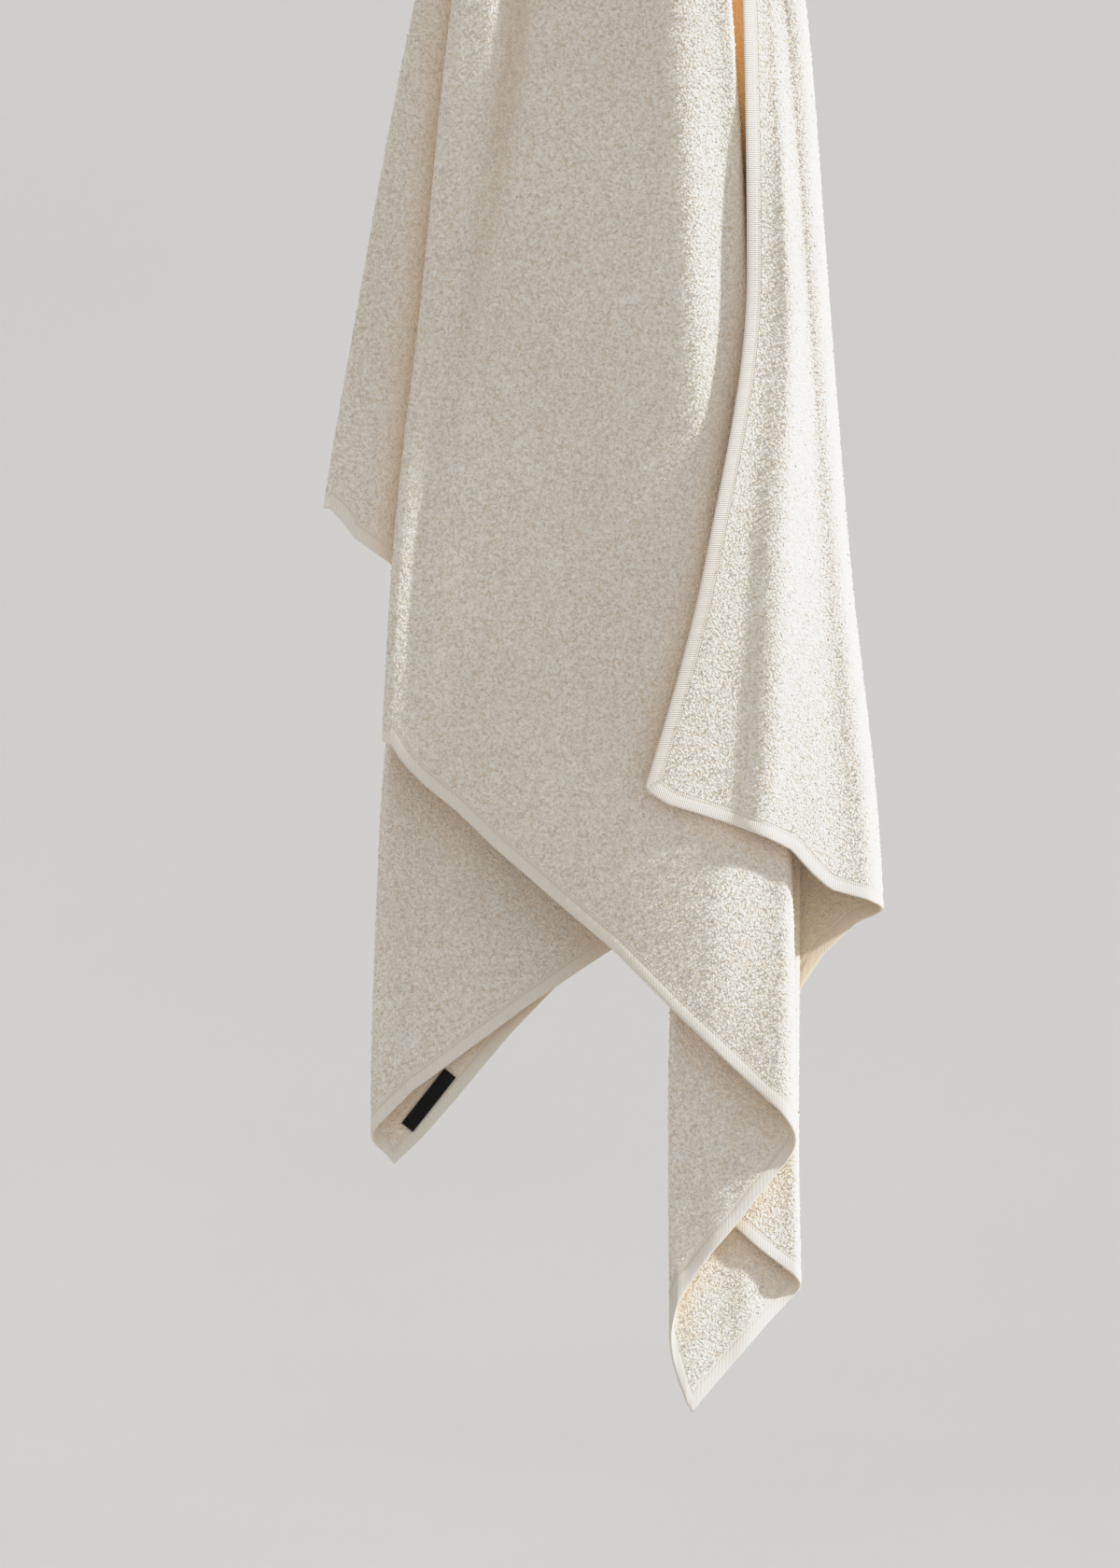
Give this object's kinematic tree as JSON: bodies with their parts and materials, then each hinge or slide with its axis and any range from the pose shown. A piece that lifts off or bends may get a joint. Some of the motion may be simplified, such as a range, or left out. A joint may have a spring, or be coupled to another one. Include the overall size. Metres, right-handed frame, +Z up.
{
  "type": "bath towel on a wall hook",
  "caption": "Cream terry bath towel hanging in uneven folds from a plain ball-tipped wall hook.",
  "frame": {"origin": "centre of the wall plate's flat back, on the wall", "axes": "+Y out of the plate's back into the wall, +Z up along the hanging towel, +X to the right seen from the room"},
  "size_m": [0.3449, 0.1145, 1.0835],
  "materials": {
    "terry": "looped cotton pile",
    "label": "woven satin",
    "hook_metal": "satin"
  },
  "bodies": {
    "root": {"towel": "terry", "label": "label", "hook_plate": "hook_metal", "hook_arm": "hook_metal"}
  },
  "joints": []
}
